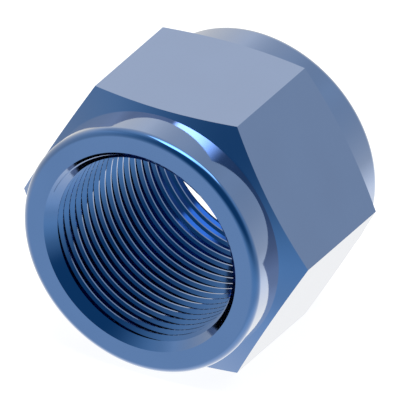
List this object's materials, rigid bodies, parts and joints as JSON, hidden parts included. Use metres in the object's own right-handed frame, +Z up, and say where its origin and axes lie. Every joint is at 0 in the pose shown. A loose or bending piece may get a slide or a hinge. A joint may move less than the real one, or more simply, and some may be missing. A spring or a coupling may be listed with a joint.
{
  "type": "tube nut",
  "caption": "Hexagon tube nut with a round collar at each end and a parallel pipe-thread bore right through, in blue anodised aluminium.",
  "frame": {"origin": "middle of the threaded bore, on its axis and halfway between the two mouths", "axes": "Y along the bore, with the mouth that is looked into facing -Y; +Z up, square to the flat that the nut lies on; X towards two corners of the hexagon"},
  "size_m": [0.0636, 0.0468, 0.055],
  "materials": {
    "anodised_aluminium": "turned and milled, bright blue anodised"
  },
  "bodies": {
    "root": {"tube_nut": "anodised_aluminium"}
  },
  "joints": []
}
